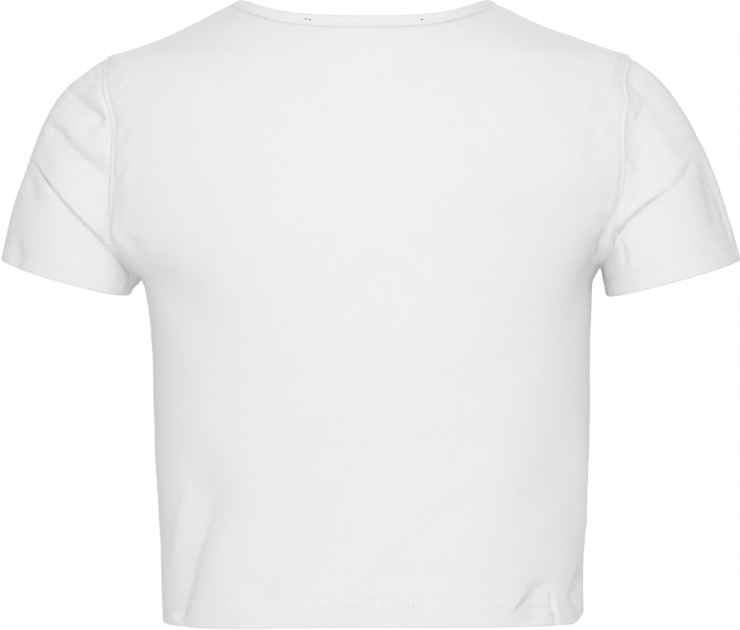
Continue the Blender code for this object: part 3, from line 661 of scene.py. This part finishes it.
def sleeveGrid(name):
    # a cubic Bezier run in each column, from the armhole's ring to the cuff's tilted ellipse, which
    # is squarer where it is nearest to the body at the back: |x|^n + |y|^n = 1
    sleeve, sign = sleeves[name], armholes[name]["sign"]
    turns, ring, outward = armholeRing(name)
    tilt, pitch = math.radians(sleeve["tilt"]), math.radians(sleeve["pitch"])
    sideAxis = np.array([sign * math.cos(tilt), 0, math.sin(tilt)])
    backAxis = np.array([0, math.cos(pitch), -math.sin(pitch)])
    corner = np.where((turns > rightAngle) & (turns < math.pi), sleeve["squareness"], 2)
    cosine, sine = np.cos(turns), np.sin(turns)
    reach = (np.abs(cosine) ** corner + np.abs(sine) ** corner) ** (-1 / corner)
    cuff = (np.array(sleeve["centre"]) + sleeve["halfWidth"] * (reach * cosine)[:, None] * sideAxis
            + sleeve["halfDepth"] * (reach * sine)[:, None] * backAxis)
    down = -sign * unit(np.cross(sideAxis, backAxis))

    share = (1 + np.cos(turns[:, None])) / 2
    leave, arrive = (mean + first * np.cos(turns[:, None]) + second * np.cos(2 * turns[:, None])
                     for mean, first, second in (sleeve["leave"], sleeve["arrive"]))
    alongEdge = unit(np.roll(ring, -1, axis=0) - np.roll(ring, 1, axis=0))
    inward = unit(np.cross(outward, alongEdge))
    inward *= np.sign(np.sum(inward * (ring.mean(axis=0) - ring), axis=-1, keepdims=True))
    way = np.fft.rfft(share * inward + (1 - share) * unit(cuff - ring), axis=0)
    keep = np.exp(-(np.arange(len(way)) / grids["waveLimit"]) ** 4)  # the slow waves round the ring
    startWay = unit(np.fft.irfft(way * keep[:, None], len(ring), axis=0))

    t = np.linspace(0, 1, grids["runSamples"])[:, None, None]
    path = ((1 - t) ** 3 * ring + 3 * t * (1 - t) ** 2 * (ring + leave * startWay)
            + 3 * t * t * (1 - t) * (cuff - arrive * down) + t ** 3 * cuff)
    length = lengthsAlong(path, 0)
    total = length[-1]
    hem = np.minimum(cloth["hemDepth"], total / 2) / cloth["hemDepth"]
    hemRows = grids["hemRows"][:, None] * hem
    ringRows = grids["ringRows"][:, None] * np.minimum(1, (total - hemRows[-1]) / grids["ringRoom"])
    shares = np.linspace(0, 1, grids["sleeveRows"] + 1)[1:-1, None]
    between = total - hemRows[-1] - shares * (total - hemRows[-1] - ringRows[0])
    stations = np.concatenate([total - hemRows, between, ringRows])
    below = (length[None] <= stations[:, None] + 1e-9).sum(axis=1) - 1
    below = np.clip(below, 0, len(t) - 2)
    low, high = (np.take_along_axis(length, below + k, axis=0) for k in (0, 1))
    part = ((stations - low) / np.maximum(high - low, 1e-9))[..., None]
    first, second = (np.take_along_axis(path, below[..., None] + k, axis=0) for k in (0, 1))
    points = first + part * (second - first)

    up = np.gradient(points, axis=0)
    around = np.roll(points, -1, axis=1) - np.roll(points, 1, axis=1)
    normals = unit(np.cross(around, up))
    normals *= np.sign(np.sum(normals * (points - points.mean(axis=1, keepdims=True))))
    return points, normals, stations, total, turns


def sleeveCloth(name):
    # height = the armhole's ridge + gathers + creases + drape - the stitches' pull
    sleeve = sleeves[name]
    points, normals, fromSeam, total, turns = sleeveGrid(name)
    fromHem = (total - fromSeam) / (np.minimum(cloth["hemDepth"], total / 2) / cloth["hemDepth"])
    inside = smoothstep(fromSeam, 0, seams["sleeveQuiet"])
    heights = inside * (creaseHeights(points, normals, sleeve["creases"])
                        + drapeHeights(points, sleeve["seed"]))
    heights += ridgeHeights(-fromSeam)
    heights += puckers(points, fromSeam, sleeve["seed"])
    heights += hemHeights(fromHem)
    points = points + heights[..., None] * normals
    onBack = smoothstep(np.sin(turns), 0, seams["armholeEnds"])
    points[..., 0] += onBack * strays(name, points[..., 2], fromSeam)
    points[..., 1] += underarm(name, points[..., 2], fromSeam)
    loop = points[grids["girthRow"]]
    girth = np.linalg.norm(loop - np.roll(loop, 1, axis=0), axis=-1).sum()
    aroundLength = np.broadcast_to(turns / math.tau * girth, points.shape[:2])
    lengths = np.stack([aroundLength, total - fromSeam], axis=-1)
    piece = clothPiece(sleeve["node"], points, normals, thicknessAt(fromHem), lengths, girth)
    return piece, points, normals


# The neckband

neckBand = {
    "node": "neck_band", "columns": 260,
    "above": 100,   # its cloth lies this far above a hem's ribs
    "flat": (0.52, 0.011), "area": 0.0053,
    # its section, from its outer foot over the fold to its inner foot; the dip holds the stitches
    "section": table(
        "rise  out",
        (-0.7, -0.35),
        (-0.5, -0.02),
        (0.1,  0.12),
        (0.9,  0.24),
        (1.4,  0.18),
        (1.9,  0.32),
        (2.8,  0.46),
        (4.2,  0.5),
        (5.6,  0.45),
        (6.6,  0.28),
        (7.2,  -0.05),
        (7.35, -0.6),
        (7.2,  -1.15),
        (6.5,  -1.6),
        (4,    -1.8),
        (1,    -1.8),
        (0,    -1.6)),
    "stitchRise": 1.4, "stitchStand": 0.18,
    "joins": (1.5, 1)}  # cloth lengths of the strips that close it, round the neck and its section


def bandCloth():
    # the section is carried along both necklines, up along the cloth and out along its normal
    def edgeOf(panel):  # a neckline at even lengths, and its outward directions
        angle, z, length = neckline(panel)
        even = np.linspace(0, 1, neckBand["columns"] + 1)
        angle, z = np.interp(even, length, angle), np.interp(even, length, z)
        return form(angle, z, panel["side"]), formNormal(angle, z, panel["side"])

    (back, backOut), (front, frontOut) = edgeOf(backPanel), edgeOf(frontPanel)
    edge = np.concatenate([back[:-1], front[::-1][:-1]])
    out = unit(np.concatenate([backOut[:-1], frontOut[::-1][:-1]]))
    along = unit(np.roll(edge, -1, axis=0) - np.roll(edge, 1, axis=0))
    up = unit(np.cross(along, out))
    up *= np.sign(up[len(up) // 4, 2])
    rise, stand = neckBand["section"]["rise"], neckBand["section"]["out"]
    rings = edge + rise[:, None, None] * up + stand[:, None, None] * out
    sections, count = rings.shape[:2]
    index = np.arange(sections * count).reshape(sections, count)
    index = np.vstack([index, index[:1]])
    index = np.hstack([index, index[:, :1]])[:, ::-1]
    lastColumn, lastRow = neckBand["joins"]
    length = lengthsAlong(edge, 0)
    length = np.concatenate([length, [length[-1] + lastColumn]])
    tall = np.concatenate([[0], np.cumsum(np.hypot(np.diff(rise), np.diff(stand)))])
    tall = np.concatenate([tall, [tall[-1] + lastRow]]) + neckBand["above"]
    lengths = np.stack(np.broadcast_arrays(length[None, ::-1], tall[:, None]), axis=-1)
    name = neckBand["node"] + "_cloth"
    piece = addPiece(name, rings.reshape(-1, 3), cornersOf(index), cornersOf(lengths))
    return piece, edge, up, out


# The stitches

thread = {
    "radius": 0.19, "length": 2.1, "pitch": 2.75, "bow": 0.07, "sink": 0.06,
    "taper": 0.8, "stations": 5, "sides": 6, "little": 0.5,
    # strands: the slope of their turn and how fast they come, their height, and how much darker their
    # grooves are painted, as painted shade
    "slant": (0.6, 0.8), "twist": 16000, "relief": 0.00008, "strength": 0.6, "grooveShade": 0.8,
    "roughness": (0.6, 0.2),    # the least, and what a strand's turn adds
    "white": (0.86, 0.86, 0.86, 1), "grey": (0.16, 0.16, 0.17, 1),
    "tackRadius": 0.42, "tackStand": 0.5,
    "tacks": ((42, 3.2, 1.5), (39.6, 2.9, 1.6), (-34.1, 2.9, 1.7))}     # place, height, length


def stitchesAlong(path, outward):  # one stitch every pitch of the path's length
    def rowAt(rows, places):  # the rows' values at these lengths along the path
        return np.stack([np.interp(places, run, rows[:, k]) for k in range(3)], axis=-1)

    run, pitch, little = lengthsAlong(path, 0), thread["pitch"], thread["little"]
    places = np.arange(pitch / 2, run[-1], pitch)
    along = unit(rowAt(path, places + little) - rowAt(path, places - little))
    return sausages(rowAt(path, places), along, unit(rowAt(outward, places)), thread["length"])


def sausages(centres, along, out, length, thick=thread["radius"]):
    # small and bowed: along by s, out by bow (1 - s^2), with the radius r sqrt(1 - taper s^2)
    s = np.linspace(-1, 1, thread["stations"])[:, None]
    turn = np.arange(thread["sides"]) * math.tau / thread["sides"]
    beside = np.cross(along, out)
    radius = thick * np.sqrt(1 - thread["taper"] * s * s)
    height = thread["bow"] * (1 - s * s) - thread["sink"] + radius * np.sin(turn)
    width = radius * np.cos(turn)
    vertices = (centres[:, None, None] + (length / 2 * s)[None, ..., None] * along[:, None, None]
                + height[None, ..., None] * out[:, None, None]
                + width[None, ..., None] * beside[:, None, None])
    stations, sides = thread["stations"], thread["sides"]
    index = np.arange(stations * sides).reshape(stations, sides)
    quads = cornersOf(np.hstack([index, index[:, :1]]))
    fan = np.array([[0, k, k + 1, k + 2] for k in range(1, sides - 1, 2)])  # closes an end
    ends = np.concatenate([fan[:, ::-1], fan + (stations - 1) * sides])
    starts = np.arange(len(centres)) * stations * sides
    quads = np.concatenate([quads, ends])[None] + starts[:, None, None]
    return vertices.reshape(-1, 3), quads.reshape(-1, 4)


def hemSewing(points, normals):  # a line of stitches along each row where a hem is sewn
    rows = [int(np.argmin(np.abs(grids["hemRows"] - place))) for place in cloth["stitchRows"]]
    return [stitchesAlong(points[k], normals[k]) for k in rows]


def joined(parts):  # several sets of vertices and faces as one
    offsets = np.cumsum([0] + [len(vertices) for vertices, _ in parts[:-1]])
    return (np.concatenate([vertices for vertices, _ in parts]),
            np.concatenate([quads + offset for (_, quads), offset in zip(parts, offsets)]))


# Materials

class Value:  # a shader value; sums and products of it add Math nodes
    def __init__(self, shader, socket):
        self.shader, self.socket = shader, socket

    def maths(self, operation, *values):
        return self.shader.add("ShaderNodeMath", {"operation": operation}, dict(enumerate(values)))

    def __add__(self, other):
        return self.maths("ADD", self, other)

    def __sub__(self, other):
        return self.maths("SUBTRACT", self, other)

    def __rsub__(self, other):
        return self.maths("SUBTRACT", other, self)

    def __mul__(self, other):
        return self.maths("MULTIPLY", self, other)

    def __truediv__(self, other):
        return self.maths("DIVIDE", self, other)

    def __abs__(self):
        return self.maths("ABSOLUTE", self)


class Shader:  # a material; add() takes a node's type, settings and inputs, give() feeds its base
    def __init__(self, name):
        self.material = bpy.data.materials.new(name)
        self.material.use_nodes = True
        self.tree = self.material.node_tree
        self.base = self.tree.nodes["Principled BSDF"]

    def add(self, kind, settings=None, inputs=None, output=0):
        node = self.tree.nodes.new(kind)
        for name, value in (settings or {}).items():
            setattr(node, name, value)
        for name, value in (inputs or {}).items():
            self.feed(node.inputs[name], value)
        return Value(self, node.outputs[output])

    def bump(self, height, strength, distance, **under):  # with another bump under it, or none
        inputs = {"Height": height, "Strength": strength, "Distance": distance, **under}
        return self.add("ShaderNodeBump", {}, inputs)

    def give(self, name, value):
        self.feed(self.base.inputs[name], value)

    def feed(self, socket, value):
        if isinstance(value, Value):
            self.tree.links.new(value.socket, socket)
        else:
            socket.default_value = value


def sine(value):  # of a shader value in radians
    return value.maths("SINE", value)


def fraction(value):  # what a shader value has past its whole number
    return value.maths("FRACT", value)


def mixed(shader, share, first, second):  # two colours mixed by a share
    inputs = {0: share, 6: first, 7: second}
    return shader.add("ShaderNodeMix", {"data_type": "RGBA"}, inputs, 2)


jersey = {
    # the second colour is painted shade for the knit's hollows and between the hem's ribs, and also
    # the darker end of the yarn's own uneven tone
    "colour": (0.862, 0.862, 0.862, 1), "shadeAndMottle": (0.79, 0.79, 0.793, 1),
    "wale": 0.62, "course": 0.5,    # the size of a knitted loop
    "relief": 0.00016, "strength": 0.6, "fuzzRelief": 0.0001, "fuzzStrength": 0.5,
    "roughness": (0.86, 0.97),
    "sheen": 0.12, "sheenRoughness": 0.55, "specular": 0.25,
    "noises": ((2200, 3), (240, 4), (22, 3)),   # scale and detail of fuzz, slubs and clouds
    "knitHollowShade": 0.3, "slubTone": 0.5, "cloudTone": 0.2, "hemTone": 0.03, "slubHeight": 0.5,
    # the threads under a hem's stitches show as small ribs, which fade past them; the ribs' crests are
    # painted lighter and the hollows between them darker, as painted light and shade
    "ribPitch": 2.75, "ribHeight": 1.6, "ribLightAndShade": 0.2, "ribFade": (0.9, -0.3)}


def jerseyMaterial():
    # a loop has two slanting legs: with a the way off its middle, height is
    # 4a(1 - a) (0.55 + 0.45 (half plus half the sine of the course's turn, less 0.9a))
    shader = Shader("white_jersey")
    where = shader.add("ShaderNodeUVMap", {"uv_map": "cloth"})
    across, upward = (shader.add("ShaderNodeSeparateXYZ", {}, {0: where}, k) for k in (0, 1))
    here = shader.add("ShaderNodeTexCoord", output="Object")
    off = abs(fraction(across / jersey["wale"]) - 0.5) * 2
    legs = off * (1 - off) * 4
    loops = sine((upward / jersey["course"] - off * 0.9) * math.tau) * 0.5 + 0.5
    knit = legs * (loops * 0.45 + 0.55)
    fuzz, slub, cloud = (
        shader.add("ShaderNodeTexNoise", {}, {"Vector": here, "Scale": scale, "Detail": detail})
        for scale, detail in jersey["noises"])
    smooth, rough = jersey["roughness"]
    shader.give("Roughness", fuzz * (rough - smooth) + smooth)
    (low, high), (outer, inner) = cloth["stitchRows"], jersey["ribFade"]
    between = shader.add("ShaderNodeMapRange", {"interpolation_type": "SMOOTHSTEP"},
                         {0: abs(upward - (low + high) / 2), 1: (high - low) / 2 + outer,
                          2: (high - low) / 2 + inner, 3: 0, 4: jersey["ribHeight"]})
    ribs = (sine(across * (math.tau / jersey["ribPitch"])) * 0.5 + 0.5) * between
    # how far towards the second colour: painted shade in the knit's hollows and between the hem's
    # ribs, a painted highlight on the ribs' crests, a slightly darker band between the stitch rows,
    # and slubs and clouds as the yarn's own uneven tone
    tone = ((1 - knit) * jersey["knitHollowShade"] + slub * jersey["slubTone"] + cloud * jersey["cloudTone"]
            - ribs * jersey["ribLightAndShade"] + between * jersey["hemTone"])
    colour = mixed(shader, tone, jersey["colour"], jersey["shadeAndMottle"])
    shader.give("Base Color", colour)
    height = knit + slub * jersey["slubHeight"] + ribs
    bump = shader.bump(height, jersey["strength"], jersey["relief"])
    fine = shader.bump(fuzz, jersey["fuzzStrength"], jersey["fuzzRelief"], Normal=bump)
    shader.give("Normal", fine)
    shader.give("Specular IOR Level", jersey["specular"])
    shader.give("Sheen Weight", jersey["sheen"])
    shader.give("Sheen Roughness", jersey["sheenRoughness"])
    return shader.material


def threadMaterial(name, colour):
    # twisted strands: the sine of the place along a slanting direction
    shader = Shader(name)
    here = shader.add("ShaderNodeTexCoord", output="Object")
    x, y, z = (shader.add("ShaderNodeSeparateXYZ", {}, {0: here}, k) for k in range(3))
    (byY, byZ), (least, more) = thread["slant"], thread["roughness"]
    twist = sine((x + y * byY + z * byZ) * thread["twist"]) * 0.5 + 0.5
    # the grooves between the strands are painted darker, as painted shade
    grooveShade = tuple(thread["grooveShade"] * c for c in colour[:3]) + (1,)
    shader.give("Base Color", mixed(shader, twist, grooveShade, colour))
    shader.give("Roughness", twist * more + least)
    bump = shader.bump(twist, thread["strength"], thread["relief"])
    shader.give("Normal", bump)
    return shader.material


# The pieces

def dress(piece, body, material, slot, *nodes):  # material, body and nodes replaced; the slot is not used
    piece.data.materials.append(material)
    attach(piece, body)
    if nodes:
        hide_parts(*nodes)


white = jerseyMaterial()
whiteThread = threadMaterial("white_thread", thread["white"])
greyThread = threadMaterial("grey_thread", thread["grey"])
hemStitches, cuffStitches = [], []

for panel in (backPanel, frontPanel):
    piece, points, normals = panelCloth(panel)
    dress(piece, "root", white, "jersey", panel["node"])
    hemStitches += hemSewing(points, normals)
    print(panel["node"], "done")

for name, sleeve in sleeves.items():
    piece, points, normals = sleeveCloth(name)
    dress(piece, "root", white, "jersey", sleeve["node"])
    cuffStitches += hemSewing(*(np.hstack([grid, grid[:, :1]]) for grid in (points, normals)))
    print(sleeve["node"], "done")

band, edge, up, out = bandCloth()
dress(band, "root", white, "jersey", neckBand["node"])
row = edge + neckBand["stitchRise"] * up + neckBand["stitchStand"] * out
bandStitches = [stitchesAlong(np.concatenate([row, row[:1]]), np.concatenate([out, out[:1]]))]
print("neck band done")

for pieceName, parts in (("hem_stitches", hemStitches), ("cuff_stitches", cuffStitches),
                         ("neck_stitches", bandStitches)):
    piece = addPiece(pieceName, *joined(parts))
    dress(piece, "root", whiteThread, "thread")

tackParts = []
for x, rise, length in thread["tacks"]:
    k = int(np.argmin(np.abs(edge[:neckBand["columns"], 0] - x)))
    centre = edge[k] + rise * up[k] + thread["tackStand"] * out[k]
    along = unit(edge[k + 1] - edge[k - 1])
    tackParts.append(sausages(centre[None], along[None], out[k][None], length, thread["tackRadius"]))
piece = addPiece("neck_tacks", *joined(tackParts))
dress(piece, "root", greyThread, "thread")
print("stitches done")


# The studio

studio = {
    "floor": -0.70, "floorRadius": 3.2, "rimPoints": 96,
    "floorColour": (0.86, 0.86, 0.86, 1), "floorRoughness": 0.9,
    "cameraDistance": 2.6, "cameraHeight": -0.2077, "lens": 190.95,
    "backdrop": 1, "ambient": 0.705,
    "aim": (0, 0, -0.2),    # what the lights point at
    # place, width, height and power of each soft light
    "lights": {
        "key": ((-0.04, 1, -0.2), 0.25, 1.5, 1.88),
        "high": ((-0.45, 2, 1.3), 0.8, 0.6, 12.7),
        "fill": ((1.2, 2.2, 0.1), 1, 1, 4.7),
        "front": ((0, -2.4, 1.4), 1.6, 1.2, 20)}}

angles = np.linspace(0, math.tau, studio["rimPoints"] + 1)[:-1]
rim = np.stack([np.cos(angles), np.sin(angles), 0 * angles], axis=-1) * studio["floorRadius"]
floorMesh = bpy.data.meshes.new("floor")
floorMesh.from_pydata((rim + (0, 0, studio["floor"])).tolist(), [], [list(range(len(rim)))])
floor = linked("floor", floorMesh)
paper = Shader("floor_paper")
paper.give("Base Color", studio["floorColour"])
paper.give("Roughness", studio["floorRoughness"])
floorMesh.materials.append(paper.material)

for name, (place, width, height, power) in studio["lights"].items():
    light = bpy.data.lights.new(name, "AREA")
    light.shape, light.size, light.size_y, light.energy = "RECTANGLE", width, height, power
    lamp = linked(name, light)
    lamp.location, lamp.visible_camera = place, False
    aim = np.array(studio["aim"]) - np.array(place)
    turn = math.atan2(aim[1], aim[0])
    lean = math.atan2(math.hypot(aim[0], aim[1]), -aim[2])
    lamp.rotation_euler = (lean, 0, turn - rightAngle)

world = bpy.data.worlds.new("white_studio")
world.use_nodes = True
nodes, links = world.node_tree.nodes, world.node_tree.links
seen, lit = nodes["Background"], nodes.new("ShaderNodeBackground")
seen.inputs[0].default_value = lit.inputs[0].default_value = (1, 1, 1, 1)
seen.inputs[1].default_value = studio["backdrop"]
lit.inputs[1].default_value = studio["ambient"]
either, rays = nodes.new("ShaderNodeMixShader"), nodes.new("ShaderNodeLightPath")
links.new(rays.outputs["Is Camera Ray"], either.inputs[0])
links.new(lit.outputs[0], either.inputs[1])
links.new(seen.outputs[0], either.inputs[2])
links.new(either.outputs[0], nodes["World Output"].inputs[0])
bpy.context.scene.world = world
bpy.context.scene.view_settings.view_transform = "Standard"

camera = linked("camera", bpy.data.cameras.new("camera"))
camera.data.lens = studio["lens"]
camera.location = (0, studio["cameraDistance"], studio["cameraHeight"])
camera.rotation_euler = (rightAngle, 0, math.pi)
bpy.context.scene.camera = camera
print("studio done")
